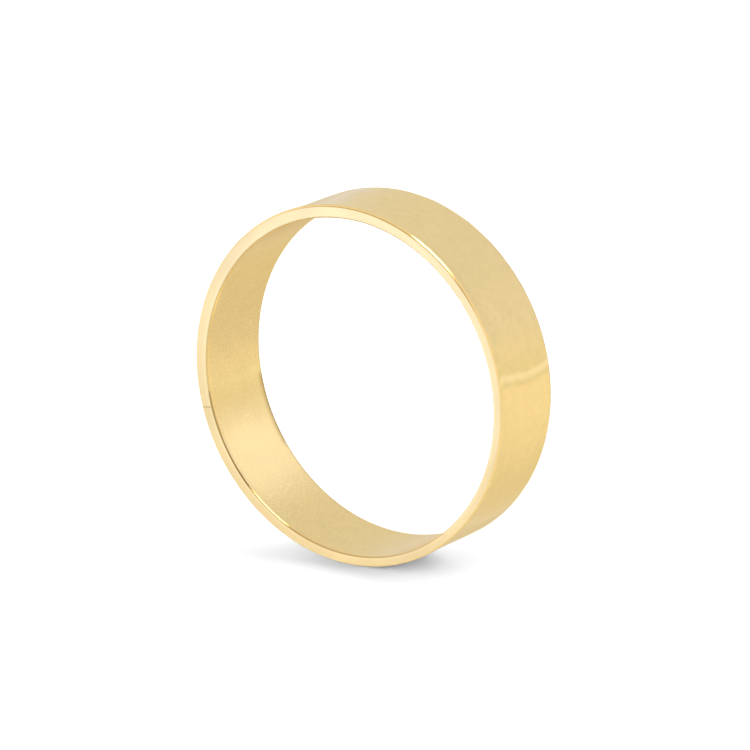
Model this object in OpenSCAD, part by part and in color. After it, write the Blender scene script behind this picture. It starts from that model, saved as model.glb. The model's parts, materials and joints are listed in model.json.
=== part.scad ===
// Flat wedding band: a gold strip bent into a ring, butted end to end and soldered shut.
// The finger bore runs along Y through the origin, and the band stands upright with +Z up.

/* [Ring size] */
// Diameter of the finger bore; 18.95 is a US size 9
bore_d = 18.95; // [14:0.05:23]
// Width of the band along the finger
band_w = 5; // [3:0.1:8]
// Thickness of the strip at its rims
strip_t = 0.66; // [0.5:0.02:1.6]

/* [Edges and faces] */
// Radius that eases the two edges of the bore
bore_ease_r = 0.12; // [0.05:0.01:0.2]
// Radius that eases the two outside edges
outer_ease_r = 0.16; // [0.05:0.01:0.25]
// Depth of the shallow hollow that bending leaves across the outside face
hollow_depth = 0.06; // [0.02:0.01:0.12]

/* [Solder seam] */
// Place of the seam round the ring, in degrees from +X towards +Z
seam_angle = 196; // [0:1:359]
// Thickness of the solder between the butted ends of the strip
seam_t = 0.06; // [0.04:0.01:0.2]

/* [Hidden] */
$fn = 96;

// Facets on the one circle that is wide enough to need more of them
wide_arc_fn = 720;

bore_r = bore_d / 2;
outer_r = bore_r + strip_t;
half_w = band_w / 2;

// The hollow is an arc through the two outside edges, hollow_depth deep at mid width
hollow_half_w = half_w - outer_ease_r;
hollow_r = (pow(hollow_half_w, 2) + pow(hollow_depth, 2)) / (2 * hollow_depth);

// How far the seam's cutter reaches past the strip on every side
cutter_reach = 1;

// A block of the cross-section from radius r_in to r_out, set back from both rims
module layer(r_in, r_out, set_back) {
    translate([r_in, set_back - half_w])
        square([r_out - r_in, band_w - 2 * set_back]);
}

// The two rounded corners at one radius, just inside the two rims
module eased_corners(r_at, ease_r) {
    for (side = [-1, 1])
        translate([r_at, side * (half_w - ease_r)])
            circle(r = ease_r);
}

// Cross-section of the strip: radius along x, width along y
module cross_section() {
    bore_corner_r = bore_r + bore_ease_r;
    outer_corner_r = outer_r - outer_ease_r;
    difference() {
        union() {
            layer(bore_r, bore_corner_r, bore_ease_r);
            layer(bore_corner_r, outer_corner_r, 0);
            layer(outer_corner_r, outer_r, outer_ease_r);
            eased_corners(bore_corner_r, bore_ease_r);
            eased_corners(outer_corner_r, outer_ease_r);
        }
        translate([outer_r - hollow_depth + hollow_r, 0])
            circle(r = hollow_r, $fn = wide_arc_fn);
    }
}

// The whole closed ring, lying flat
module closed_ring() {
    rotate_extrude()
        cross_section();
}

// The space between the butted ends, lying flat: its two faces are parallel
module seam_gap() {
    rotate([0, 0, seam_angle])
        translate([bore_r - cutter_reach, -seam_t / 2, -half_w - cutter_reach])
            cube([strip_t + 2 * cutter_reach, seam_t, band_w + 2 * cutter_reach]);
}

// Stands a flat ring up, with its bore along Y
module upright() {
    rotate([90, 0, 0])
        children();
}

// The bent strip, open where its ends butt
module shank() {
    color("gold")
        upright()
            difference() {
                closed_ring();
                seam_gap();
            }
}

// The solder that fills the butt joint, flush with the strip all round
module solder_seam() {
    color("goldenrod")
        upright()
            intersection() {
                closed_ring();
                seam_gap();
            }
}

shank();
solder_seam();
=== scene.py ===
"""A flat gold wedding band, finished as a bench jeweller leaves it, standing on a pale table.

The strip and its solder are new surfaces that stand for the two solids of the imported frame. Everything
is in metres, in the frame's own axes: the finger bore runs along Y, and +Z is up.
"""

import json
import math

import bpy
import numpy as np
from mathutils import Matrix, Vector


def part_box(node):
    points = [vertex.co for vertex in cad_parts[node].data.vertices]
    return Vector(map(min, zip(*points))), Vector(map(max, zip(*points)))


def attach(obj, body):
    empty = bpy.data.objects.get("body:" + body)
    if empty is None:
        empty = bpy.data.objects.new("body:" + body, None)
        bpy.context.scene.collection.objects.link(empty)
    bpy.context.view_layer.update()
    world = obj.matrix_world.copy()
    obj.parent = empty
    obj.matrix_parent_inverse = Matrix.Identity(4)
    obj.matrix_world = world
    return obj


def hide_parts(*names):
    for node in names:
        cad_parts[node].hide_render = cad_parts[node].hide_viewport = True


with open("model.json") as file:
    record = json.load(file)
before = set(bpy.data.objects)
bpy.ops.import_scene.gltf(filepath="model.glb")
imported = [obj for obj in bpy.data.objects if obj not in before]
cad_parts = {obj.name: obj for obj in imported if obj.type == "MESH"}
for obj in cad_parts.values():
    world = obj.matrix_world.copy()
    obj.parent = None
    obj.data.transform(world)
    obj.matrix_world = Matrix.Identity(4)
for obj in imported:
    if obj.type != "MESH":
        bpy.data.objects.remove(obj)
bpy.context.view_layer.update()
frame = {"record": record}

MM = 0.001

# ---------------------------------------------------------------- sizes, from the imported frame

finger_bore = next(m for m in frame["record"]["mounts"] if m["name"] == "finger_bore")
strip_low, strip_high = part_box("shank")

bore_r = finger_bore["dims"]["r_mm"] * MM
outer_r = strip_high.z
half_w = strip_high.y
bore_ease_r = half_w - finger_bore["dims"]["length_mm"] * MM / 2
outer_ease_r = 0.16 * MM
hollow_depth = 0.06 * MM

# Wear that only the look has: a soft shoulder polished into the rear of the outside, and a wall that is
# thinner to the lower right, by the distance that the bore's own centre lies off the outside's
shoulder_w = 1.6 * MM
shoulder_drop = 0.02 * MM
rear_ease_r = 0.08 * MM
bore_shift = np.array([0.125, 0.0, -0.055]) * MM

# The solder joint: its place round the ring from +X towards +Z, and its thickness, a little under the
# solid's so that its end is a hairline
seam_angle = math.radians(196)
seam_t = 0.05 * MM

# ---------------------------------------------------------------- mesh helpers


def arc(centre, radius, start, stop, steps):
    """Points (radius, width) on a circle's arc, from angle start to stop in degrees, both ends in."""
    turn = np.radians(np.linspace(start, stop, steps + 1))
    return np.stack([centre[0] + radius * np.cos(turn), centre[1] + radius * np.sin(turn)], axis=1)


def line(start, stop, steps):
    """Points (radius, width) spread along a straight line, both ends in."""
    share = np.linspace(0, 1, steps + 1)[:, None]
    return np.array(start) * (1 - share) + np.array(stop) * share


def strip_section():
    """Closed outline of the strip's cross-section, as (radius, width) points with their outward normals
    and a part number: 0 bore, 1 front rim, 2 outside, 3 rear rim.

    The outline is the bore's straight line, two flat rims with an eased corner at each end, and an
    outside made of two arcs: the shallow hollow from the front corner, and the soft shoulder that leaves
    it along its tangent and falls to the rear corner. Both arcs have radius (w^2 + d^2) / 2d, for a
    width w and a depth d.
    """
    flat_w = half_w - bore_ease_r
    rim_in = bore_r + bore_ease_r
    rim_out = outer_r - outer_ease_r
    hollow_w = half_w - outer_ease_r
    rear_w = half_w - rear_ease_r
    hollow_r = (hollow_w ** 2 + hollow_depth ** 2) / (2 * hollow_depth)
    hollow_centre = outer_r - hollow_depth + hollow_r
    shoulder_r = (shoulder_w ** 2 + shoulder_drop ** 2) / (2 * shoulder_drop)
    shoulder_y = half_w - shoulder_w
    shoulder_centre = hollow_centre - math.sqrt((hollow_r + shoulder_r) ** 2 - shoulder_y ** 2)
    join = math.degrees(math.asin(shoulder_y / (hollow_r + shoulder_r)))
    fall = math.degrees(math.asin((rear_w - shoulder_y) / (shoulder_r - rear_ease_r)))
    rear_out = shoulder_centre + math.cos(math.radians(fall)) * (shoulder_r - rear_ease_r)
    open_w = math.degrees(math.asin(hollow_w / hollow_r))
    runs = [
        (0, line((bore_r, flat_w), (bore_r, -flat_w), 24)),
        (1, arc((rim_in, -flat_w), bore_ease_r, 180, 270, 10)),
        (1, line((rim_in, -half_w), (rim_out, -half_w), 8)),
        (1, arc((rim_out, -hollow_w), outer_ease_r, 270, 360, 12)),
        (2, arc((hollow_centre, 0), hollow_r, 180 + open_w, 180 - join, 24)),
        (2, arc((shoulder_centre, shoulder_y), shoulder_r, -join, fall, 16)),
        (3, arc((rear_out, rear_w), rear_ease_r, fall, 90, 12)),
        (3, line((rear_out, half_w), (rim_in, half_w), 8)),
        (3, arc((rim_in, flat_w), bore_ease_r, 90, 180, 10)),
    ]
    points = np.concatenate([run[:-1] for _, run in runs])
    parts = np.concatenate([np.full(len(run) - 1, part) for part, run in runs])
    along = np.roll(points, -1, axis=0) - np.roll(points, 1, axis=0)
    normals = np.stack([along[:, 1], -along[:, 0]], axis=1)
    normals /= np.linalg.norm(normals, axis=1)[:, None]
    return points, normals, parts


def eased_end(ease, steps):
    """Distance along a piece from its end, and inset of its skin there, as a quarter circle eases them."""
    turn = np.radians(np.linspace(0, 90, steps + 1))
    return ease * (1 - np.cos(turn)), ease * (1 - np.sin(turn))


def mesh_piece(name, points, faces, material, smooth=True):
    """A mesh object at the origin from an array of points and a list of faces."""
    mesh = bpy.data.meshes.new(name)
    mesh.from_pydata(points.tolist(), [], faces)
    mesh.polygons.foreach_set("use_smooth", np.full(len(mesh.polygons), smooth))
    mesh.materials.append(material)
    mesh.update()
    piece = bpy.data.objects.new(name, mesh)
    bpy.context.scene.collection.objects.link(piece)
    return piece


def tube_faces(rings, around):
    """Quads between the rings of a closed outline carried along a path, with a cap at each end."""
    ring = np.arange(rings - 1)[:, None] * around
    step = np.arange(around)[None, :]
    after = (step + 1) % around
    quads = np.stack([ring + step, ring + after, ring + around + after, ring + around + step], axis=-1)
    faces = quads.reshape(-1, 4).tolist()
    faces.append(list(range(around - 1, -1, -1)))
    faces.append(list(range((rings - 1) * around, rings * around)))
    return faces


# ---------------------------------------------------------------- the two pieces


def ring_points(section, normals, stations, insets, low_angle, high_angle):
    """The section carried round the bore's axis, as a (stations, section points, 3) array.

    stations run from 0 to 1 between two angles, which may differ from point to point of the section;
    insets push each station's outline inwards along its normals. A point at radius r and angle a is
    (r cos a, width, r sin a) plus its share of the bore's shift: all of it in the bore, none outside.
    """
    outline = section[None] - normals[None] * insets[..., None]
    angle = low_angle[None] + stations * (high_angle - low_angle)[None]
    radius, width = outline[..., 0], outline[..., 1]
    round_axis = np.stack([radius * np.cos(angle), width, radius * np.sin(angle)], axis=-1)
    share = np.clip((outer_r - radius) / (outer_r - bore_r), 0, 1)
    return round_axis + share[..., None] * bore_shift


def make_shank(material):
    """The bent strip: its section carried once round the bore, from one butted end to the other.

    Both ends lie in planes parallel to the solder's middle, seam_t apart, so the angle of an end grows
    towards the bore: asin(seam_t / 2 / radius). At the front rim the edges of the ends are eased.
    """
    section, normals, parts = strip_section()
    gap = np.arcsin(seam_t / 2 / section[:, 0])
    low, high = seam_angle + gap, seam_angle + 2 * math.pi - gap
    span = (high - low)[None]
    shows = (parts == 1)[None]
    away, inset = eased_end(END_EASE, END_STEPS)
    away = away[:, None] / (section[:, 0][None] * span)
    middle = np.linspace(0, 1, RING_STEPS + 1)[1:-1, None] * np.ones_like(span)
    stations = np.concatenate([away, middle, 1 - away[::-1]])
    insets = np.concatenate([inset[:, None] * shows, np.zeros_like(middle), inset[::-1, None] * shows])
    points = ring_points(section, normals, stations, insets, low, high)
    faces = tube_faces(len(points), len(section))
    piece = mesh_piece("shank", points.reshape(-1, 3), faces, material)
    mark_finishes(piece, section, normals, low + stations * span)
    return piece


def make_solder_seam(material):
    """The solder in the joint: the same section carried across the gap, flush except at the front rim,
    where it lies a little low, and lowest at the front edge of the bore."""
    section, normals, parts = strip_section()
    gap = np.arcsin(seam_t / 2 / section[:, 0])
    low, high = seam_angle - gap, seam_angle + gap
    stations = np.linspace(0, 1, SEAM_STEPS + 1)[:, None] * np.ones((1, len(section)))
    bare = (parts == 1) & (section[:, 0] < bore_r + bore_ease_r)
    sink = np.where(bare, CORNER_SINK, np.where(parts == 1, RIM_SINK, 0.0))
    points = ring_points(section, normals, stations, sink[None] * np.ones_like(stations), low, high)
    faces = tube_faces(len(points), len(section))
    piece = mesh_piece("solder_seam", points.reshape(-1, 3), faces, material)
    mark_finishes(piece, section, normals, low + stations * (high - low)[None])
    return piece


def round_window(angles, middle, half):
    """1 within half degrees of the middle angle and 0 outside, with a soft edge."""
    away = np.abs(np.degrees(angles) % 360 - middle)
    return np.clip((half - away) / ARC_FADE + 0.5, 0, 1)


def leaning(normals, middle, half):
    """1 where a normal leans middle degrees from the bore's own towards the front, falling to 0 half
    degrees either way."""
    lean = np.degrees(np.arctan2(-normals[:, 1], -normals[:, 0]))
    return np.clip(1 - np.abs(lean - middle) / half, 0, 1)


def mark_finishes(piece, section, normals, angles):
    """Two vector attributes per point. The first, of finishes and painted edges, holds three masks: rim,
    bore, and the bore's front corner, which is 1 where a dark reflection is painted on and -1 on the lip
    beside it, where a highlight is painted, with a fainter painted dark line along the bore's rear edge.
    "place" holds millimetres along the strip, across it (as length round the section's outline) and through
    it."""
    facing_rim = np.clip((np.abs(normals[:, 1]) - RIM_FACING[0]) / RIM_FACING[1], 0, 1)
    facing_bore = np.clip((-normals[:, 0] - BORE_FACING[0]) / BORE_FACING[1], 0, 1)
    # Painted dark reflection along the bore's front corner, darkest in an arc round the seam; a painted
    # highlight on the lip beside it; a fainter painted dark line along the bore's rear edge
    dark_reflection_share = CORNER_DARK_SHARE + (1 - CORNER_DARK_SHARE) * round_window(angles, *DARK_REFLECTION_ARC)
    bright = leaning(normals, *LIP_HIGHLIGHT_LEAN) * round_window(angles, *LIP_HIGHLIGHT_ARC)
    near_rear = np.clip((section[:, 1] - half_w) / REAR_LINE_W + REAR_LINE_REACH, 0, 1)
    near_rear = near_rear * (section[:, 0] < bore_r + bore_ease_r)
    rear_dark_line = REAR_LINE * near_rear * round_window(angles, *REAR_ARC)
    corner = leaning(normals, *DARK_REFLECTION_LEAN) * dark_reflection_share - bright + rear_dark_line
    finish_and_painted_edge = np.stack([facing_rim + 0 * angles, facing_bore + 0 * angles, corner], axis=-1)
    round_outline = np.cumsum(np.linalg.norm(section - np.roll(section, 1, axis=0), axis=1))
    across = np.broadcast_to(round_outline / MM, angles.shape)
    through = np.broadcast_to((section[:, 0] - bore_r) / MM, angles.shape)
    place = np.stack([angles * outer_r / MM, across, through], axis=-1)
    for name, values in (("finish_and_painted_edge", finish_and_painted_edge), ("place", place)):
        made = piece.data.attributes.new(name, "FLOAT_VECTOR", "POINT")
        made.data.foreach_set("vector", values.astype(np.float32).ravel())


RING_STEPS = 720
SEAM_STEPS = 4

# Where a normal starts to count as the rim's or the bore's, and over how much more it comes to count fully
RIM_FACING = (0.80, 0.15)
BORE_FACING = (0.90, 0.09)

# Painted dark reflection and painted highlight along the bore's edges: middle and half width in degrees,
# first round the ring and then of the corner's lean; ARC_FADE softens the ends
DARK_REFLECTION_ARC = (208.5, 17.5)
LIP_HIGHLIGHT_ARC = (216, 10)
REAR_ARC = (204, 13)
ARC_FADE = 3
DARK_REFLECTION_LEAN = (50, 32)
LIP_HIGHLIGHT_LEAN = (13, 11)
REAR_LINE = 0.6
REAR_LINE_W = 0.25 * MM
REAR_LINE_REACH = 1.6
# Share of the painted dark reflection that the front corner keeps outside its darkest arc
CORNER_DARK_SHARE = 0.35

# The eased ends of the strip, and how low the solder lies between them
END_STEPS = 4
END_EASE = 0.012 * MM
RIM_SINK = 0.010 * MM
CORNER_SINK = 0.05 * MM

# ---------------------------------------------------------------- materials


class Value:
    """A node socket in an expression on numbers: every operator adds one Math node."""

    def __init__(self, nodes, socket):
        self.nodes, self.socket = nodes, socket

    def maths(self, operation, *others):
        inputs = {i: other for i, other in enumerate((self, *others))}
        return self.nodes.node("ShaderNodeMath", {"operation": operation}, inputs)[0]

    def __add__(self, other):
        return self.maths("ADD", other)

    def __mul__(self, other):
        return self.maths("MULTIPLY", other)

    def __sub__(self, other):
        return self.maths("SUBTRACT", other)

    def __rsub__(self, other):
        return (self * -1.0) + other

    def __neg__(self):
        return self * -1.0

    def step(self, low, high):
        """0 below low, 1 above high, and a smooth rise between them."""
        inputs = {"Value": self, "From Min": low, "From Max": high}
        return self.nodes.node("ShaderNodeMapRange", {"interpolation_type": "SMOOTHSTEP"}, inputs)[0]

    def ramp(self, low, high):
        """0 below low, 1 above high, and a straight rise between them."""
        inputs = {"Value": self, "From Min": low, "From Max": high}
        return self.nodes.node("ShaderNodeMapRange", {}, inputs)[0]

    __radd__, __rmul__ = __add__, __mul__


class Nodes:
    """A node tree whose nodes are made through node() and joined by expressions on Value."""

    def __init__(self, owner):
        owner.use_nodes = True
        self.owner, self.tree = owner, owner.node_tree

    def node(self, kind, settings=(), inputs=()):
        """A new node's outputs: its settings are set first, and then its sockets are set or linked."""
        made = self.tree.nodes.new(kind)
        for name, setting in dict(settings).items():
            setattr(made, name, setting)
        self.fill(made, inputs)
        return [Value(self, socket) for socket in made.outputs if socket.enabled]

    def fill(self, made, inputs):
        for name, given in dict(inputs).items():
            if isinstance(given, Value):
                self.tree.links.new(given.socket, made.inputs[name])
            else:
                made.inputs[name].default_value = given

    def mix(self, share, first, second):
        """The colour that is first at share 0 and second at share 1."""
        inputs = {0: share, 6: first, 7: second}
        return self.node("ShaderNodeMix", {"data_type": "RGBA"}, inputs)[0]

    def vector(self, operation, *given):
        inputs = {i: value for i, value in enumerate(given)}
        return self.node("ShaderNodeVectorMath", {"operation": operation}, inputs)[0]

    def towards(self, direction, target):
        """The cosine of the angle between two unit directions."""
        return self.node("ShaderNodeVectorMath", {"operation": "DOT_PRODUCT"}, {0: direction, 1: target})[0]

    def split(self, vector):
        return self.node("ShaderNodeSeparateXYZ", {}, {0: vector})

    def noise(self, place, stretch, detail=2.0, turn=0.0):
        """Grey noise, with stretch cycles per unit along each axis, turned about the third axis."""
        settings = {"rotation_type": "Z_AXIS"}
        inputs = {"Vector": place, "Angle": math.radians(turn)}
        turned = self.node("ShaderNodeVectorRotate", settings, inputs)[0]
        scaled = self.vector("MULTIPLY", turned, stretch)
        return self.node("ShaderNodeTexNoise", {}, {"Vector": scaled, "Scale": 1.0, "Detail": detail})[0]

    def bump(self, height, depth):
        """A normal from a height of 0 to 1, depth metres deep."""
        inputs = {"Strength": 1.0, "Distance": depth, "Height": height}
        return self.node("ShaderNodeBump", {}, inputs)[0]


class Finish(Nodes):
    """The nodes of one of the ring's own materials."""

    def __init__(self, name):
        super().__init__(bpy.data.materials.new(name))
        self.surface = self.tree.nodes["Principled BSDF"]

    def set(self, **inputs):
        """Sets or links the surface's own sockets, such as Base_Color."""
        self.fill(self.surface, {name.replace("_", " "): given for name, given in inputs.items()})
        return self.owner


POLISHED_GOLD = (0.90, 0.665, 0.28, 1)
# Painted shade: the bore's gold is a little darker than the polished gold, standing in for shade in what
# the bore mirrors
SATIN_SHADED_GOLD = (0.84, 0.615, 0.25, 1)
# Painted sheen: the rims are painted in these paler golds, from deep to pale round the ring
RIM_SHEEN_PALE = (0.915, 0.768, 0.49, 1)
RIM_DEEP = (0.82, 0.635, 0.33, 1)
# Painted reflection on the bore's front corner: a painted dark reflection, and a painted highlight on the
# lip beside it
CORNER_DARK_REFLECTION = (0.25, 0.135, 0.0, 1)
LIP_HIGHLIGHT = (1.0, 0.97, 0.88, 1)
# The painted dark reflection on the solder's corner
SOLDER_DARK_REFLECTION = (0.42, 0.26, 0.06, 1)
SOLDER_GOLD = (0.72, 0.56, 0.28, 1)
EDGE_TINT = (0.955, 0.90, 0.74, 1)

# Painted sheen: the rims are painted palest at this angle round the ring, in degrees, and in their half
# nearer the bore
SHEEN_ANGLE = 78
INNER_SHEEN = 0.35

# How deep the marks of the emery, the file and the polishing wheel are together
TOOL_DEPTH = 0.004 * MM


def gold_finish(name, rim_sheen_pale, rim_deep, corner_dark_reflection):
    """Yellow gold: mirror polished outside, satin in the bore, and finely brushed on the rims, which carry
    a
    painted sheen: painted paler, most of all round the upper right and in their half nearer the bore."""
    skin = Finish(name)
    rim, bore, corner = skin.split(skin.node("ShaderNodeAttribute", {"attribute_name": "finish_and_painted_edge"})[1])
    place = skin.node("ShaderNodeAttribute", {"attribute_name": "place"})[1]

    # Bore: fine marks of emery, slanting across the strip, over a slow unevenness
    marks = skin.noise(place, (5.0, 9.0, 1.0), 3.0, 62).step(0.25, 0.75)
    cloud = skin.noise(place, (0.9, 0.9, 1.0), 3.0)
    # Rims: short file marks over a slow waviness along the strip
    grain = skin.noise(place, (9.0, 9.0, 9.0), 3.0)
    sway = skin.noise(place, (0.22, 0.2, 0.2), 1.0)
    # Outside: a polished skin with a faint ripple and hairline wear
    ripple = skin.noise(place, (0.5, 0.8, 1.0), 1.0)
    mottle = skin.noise(place, (2.5, 2.5, 1.0), 3.0)
    hairs = skin.noise(place, (0.6, 30.0, 1.0), 2.0, 24).step(0.66, 0.74)

    height = bore * marks * 0.10 + rim * grain * 0.35 + ripple * 0.8
    normal = skin.bump(height, TOOL_DEPTH)

    outside = (1.0 - bore) * (1.0 - rim)
    roughness = 0.035 + outside * (hairs * 0.10 + cloud * 0.03) + rim * (0.10 + grain * 0.10)
    roughness = roughness + bore * (0.11 + marks * 0.08)

    wear = bore * (cloud * 0.08 + marks * 0.10 - 0.09) + rim * (sway * 0.3 - 0.15)
    wear = wear + outside * (cloud * 0.07 + mottle * 0.11 - 0.09) + 1.0
    # Painted shade: the bore takes the darker gold
    colour = skin.mix(bore, POLISHED_GOLD, SATIN_SHADED_GOLD)
    # Painted sheen: the rims' colour runs from deep to pale round the ring, and is paler in their half
    # nearer the bore
    along, _, through = skin.split(place)
    turn = along * (MM / outer_r) - math.radians(SHEEN_ANGLE)
    inner_half = 1.0 - through.step(0.10, 0.30)
    pale = (turn.maths("COSINE") * 0.5 + 0.5 + inner_half * INNER_SHEEN).maths("MINIMUM", 1.0)
    colour = skin.mix(rim, colour, skin.mix(pale, rim_deep, rim_sheen_pale))
    # Painted dark reflection on the bore's corners, and a painted highlight on the lip beside the front one
    colour = skin.mix(corner.maths("MAXIMUM", 0.0), colour, corner_dark_reflection)
    colour = skin.mix((-corner).maths("MAXIMUM", 0.0), colour, LIP_HIGHLIGHT)
    worn = skin.node("ShaderNodeCombineXYZ", {}, {0: wear, 1: wear, 2: wear})[0]
    colour = skin.vector("MULTIPLY", colour, worn)
    skin.set(Base_Color=colour, Metallic=1.0, Roughness=roughness, Normal=normal)
    return skin.set(Specular_Tint=EDGE_TINT)


gold = gold_finish("yellow_gold", RIM_SHEEN_PALE, RIM_DEEP, CORNER_DARK_REFLECTION)
solder = gold_finish("gold_solder", SOLDER_GOLD, SOLDER_GOLD, SOLDER_DARK_REFLECTION)

shank = make_shank(gold)
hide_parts("shank")
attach(shank, "root")

solder_seam = make_solder_seam(solder)
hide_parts("solder_seam")
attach(solder_seam, "root")

# ---------------------------------------------------------------- table, light and camera

TABLE_HALF = 400 * MM
DOME_R = 900 * MM


class Studio(Nodes):
    """The nodes of something round the ring that isn't part of it."""

    def __init__(self, name):
        super().__init__(bpy.data.materials.new(name))
        self.tree.nodes.remove(self.tree.nodes["Principled BSDF"])

    def shows(self, surface):
        self.tree.links.new(surface.socket, self.tree.nodes["Material Output"].inputs["Surface"])
        return self.owner

    def glow(self, colour):
        return self.node("ShaderNodeEmission", {}, {"Color": colour})[0]


TABLE_PALE = (0.8, 0.8, 0.8, 1)
TABLE_GLOW = (0.01, 0.01, 0.01, 1)


def table_finish():
    """A pale matt sheet with a very faint glow of its own, which keeps the darkest of the shadow open."""
    top = Studio("pale_table")
    lit = top.node("ShaderNodeBsdfDiffuse", {}, {"Color": TABLE_PALE})[0]
    return top.shows(top.node("ShaderNodeAddShader", {}, {0: lit, 1: top.glow(TABLE_GLOW)})[0])


FLOOR_LEFT = (0.885, 0.868, 0.835, 1)
FLOOR_RIGHT = (1.045, 1.03, 1.03, 1)
FLOOR_WARM = (0.77, 0.67, 0.44, 1)
WARM_DIRECTION = (-0.52, 0.79, -0.325)
FAR_WALL = (0.34, 0.25, 0.11, 1)
BACKDROP = (0.855, 0.895, 1.06, 1)
BACKDROP_RIGHT = (0.90, 0.93, 1.09, 1)
SKIRTING = (0.93, 0.935, 0.935, 1)
BOARD_EDGE = (1.05, 1.10, 1.25, 1)
BACKDROP_LOW = (0.905, 0.915, 0.90, 1)
FRONT = (1.03, 1.02, 1.01, 1)
ROOM = (0.66, 0.52, 0.30, 1)
SOFTBOX = (5.0, 4.9, 4.8, 1)


def dome_finish():
    """What the gold mirrors, from the direction (x, y, z) a reflection takes: a pale floor and a cool
    backdrop behind, with the bright edge of the backdrop's board between them; a bright floor and a dark
    room in front; and a softbox overhead."""
    dome = Studio("studio_dome")
    towards = dome.vector("NORMALIZE", dome.node("ShaderNodeTexCoord")[3])
    x, y, z = dome.split(towards)
    floor = dome.mix(x.step(0.0, 0.60), FLOOR_LEFT, FLOOR_RIGHT)
    backdrop = dome.mix(x.step(0.1, 0.6), BACKDROP, BACKDROP_RIGHT)
    rise = z - (y - 0.79) * 0.45
    right = x.step(0.1, 0.3)
    backdrop = dome.mix(right * (1.0 - z.ramp(-0.05, 0.25)), backdrop, BACKDROP_LOW)
    light = dome.mix(rise.step(-0.16, -0.135), floor, dome.mix(right, backdrop, SKIRTING))
    light = dome.mix(rise.step(-0.125, -0.095), light, dome.mix(right, backdrop, BOARD_EDGE))
    light = dome.mix(rise.step(-0.08, -0.055), light, backdrop)
    light = dome.mix(dome.towards(towards, WARM_DIRECTION).ramp(0.94, 0.995), light, FLOOR_WARM)
    light = dome.mix(y.step(0.83, 0.91), light, FAR_WALL)
    front = dome.mix(z.step(0.30, 0.36) * (-y).step(0.36, 0.46) * (-x).step(-0.64, -0.58), FRONT, ROOM)
    light = dome.mix((-y).step(-0.5, 0.1), light, front)
    overhead = x.step(0.02, 0.08) * (-x).step(-0.47, -0.41) * y.step(-0.60, -0.54) * z.step(0.64, 0.68)
    overhead = overhead * (-y).step(-0.55, -0.45)
    light = dome.mix(overhead, light, SOFTBOX)
    return dome.shows(dome.glow(light))


def card_finish(name, colour, fade):
    """A glowing card; fade gives its share at each place on it, from clear at 0 to solid at 1."""
    card = Studio(name)
    glow = card.glow(colour)
    share = fade(*card.split(card.node("ShaderNodeTexCoord")[3]))
    clear = card.node("ShaderNodeBsdfTransparent")[0]
    return card.shows(card.node("ShaderNodeMixShader", {}, {0: share, 1: clear, 2: glow})[0])


def staged(piece, mirrored=True, seen=False):
    """Puts a piece in the studio: mirrored by the gold or not, and seen by the camera or not."""
    piece.visible_glossy = mirrored
    piece.visible_camera = seen
    piece.visible_diffuse = piece.visible_shadow = seen
    return piece


def sheet(name, centre, right, up, material):
    """A flat sheet from its centre and the two arrows to its right and upper edges."""
    corners = np.array([(-1, -1), (1, -1), (1, 1), (-1, 1)])
    points = np.array(centre) + corners @ np.array([right, up])
    return mesh_piece(name, points, [[0, 1, 2, 3]], material, False)


def make_dome():
    """A sphere round the studio, as rings of latitude closed by a fan at each pole."""
    across, down = 96, 48
    lean = np.linspace(0, math.pi, down + 1)[1:-1, None]
    turn = np.linspace(0, 2 * math.pi, across, endpoint=False)[None]
    low = np.cos(lean) + 0 * turn
    ball = np.stack([np.sin(lean) * np.cos(turn), np.sin(lean) * np.sin(turn), low], -1)
    faces = tube_faces(down - 1, across)
    return mesh_piece("studio_dome", ball.reshape(-1, 3) * DOME_R, faces, dome_finish())


table = sheet(
    "table", (0, 0, strip_low.z), (TABLE_HALF, 0, 0), (0, TABLE_HALF, 0), table_finish()
)
staged(table, mirrored=False, seen=True)
staged(make_dome())

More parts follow.
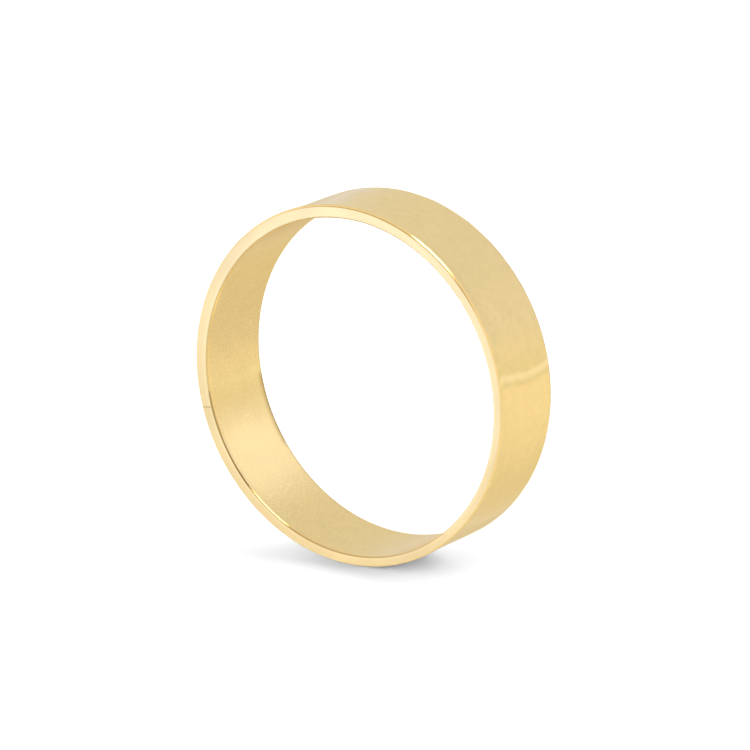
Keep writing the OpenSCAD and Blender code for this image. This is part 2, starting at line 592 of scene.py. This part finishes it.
# Two cards behind the ring that only the bore mirrors: a bright one in its lower left, and a grey one
# in its left
bright_card = card_finish(
    "bright_card", (1.14, 1.22, 1.63, 1),
    lambda x, y, z: z.step(-1.4 * MM, 1.1 * MM) * x.step(-4.8 * MM, -0.8 * MM),
)
grey_card = card_finish(
    "grey_card", (0.872, 0.86, 0.91, 1), lambda x, y, z: (-z).step(3.0 * MM, 3.8 * MM)
)
CARD_Y = 14 * MM
CARD_RIGHT, CARD_UP = (5 * MM, 0, 0), (0, 0, 4 * MM)
staged(sheet("bright_card", (-MM, CARD_Y, 2 * MM), CARD_RIGHT, CARD_UP, bright_card))
staged(sheet("grey_card", (-MM, CARD_Y, -6 * MM), CARD_RIGHT, CARD_UP, grey_card))


SIDEWAYS = (0.506, 0.862, 0.0)
BEHIND = (-0.568, 0.823, 0.0)
SIDE_LIGHT = 29.3
BACK_LIGHT = 17.6


def light_room():
    """Low daylight for the table, from both sides of the ring and from behind it."""
    world = Nodes(bpy.data.worlds.new("studio"))
    bpy.context.scene.world = world.owner
    sky = world.node("ShaderNodeTexCoord")[0]
    low = (1.0 - world.split(sky)[2]).maths("POWER", 3.0)
    sideways = world.towards(sky, SIDEWAYS).maths("POWER", 2.0)
    behind = world.towards(sky, BEHIND).maths("MAXIMUM", 0.0)
    strength = low * (sideways * SIDE_LIGHT + behind * BACK_LIGHT)
    world.fill(world.tree.nodes["Background"], {"Color": (1, 1, 1, 1), "Strength": strength})


light_room()

VIEW_AZIMUTH = math.radians(34.64)
VIEW_ELEVATION = math.radians(16.4)
VIEW_LENS = 336
VIEW_DISTANCE = 382.7 * MM
VIEW_SENSOR = 36
VIEW_AIM = Vector((0.115, 0.103, 0.067)) * MM

camera = bpy.data.objects.new("camera", bpy.data.cameras.new("camera"))
bpy.context.scene.collection.objects.link(camera)
bpy.context.scene.camera = camera
camera.data.lens = VIEW_LENS
camera.data.sensor_width = VIEW_SENSOR
back = Vector((
    math.sin(VIEW_AZIMUTH) * math.cos(VIEW_ELEVATION),
    -math.cos(VIEW_AZIMUTH) * math.cos(VIEW_ELEVATION),
    math.sin(VIEW_ELEVATION),
))
camera.location = VIEW_AIM + back * VIEW_DISTANCE
camera.rotation_euler = back.to_track_quat("Z", "Y").to_euler()
camera.data.clip_start, camera.data.clip_end = 0.01, 10

bpy.context.scene.view_settings.view_transform = "Standard"
bpy.context.scene.cycles.caustics_reflective = False
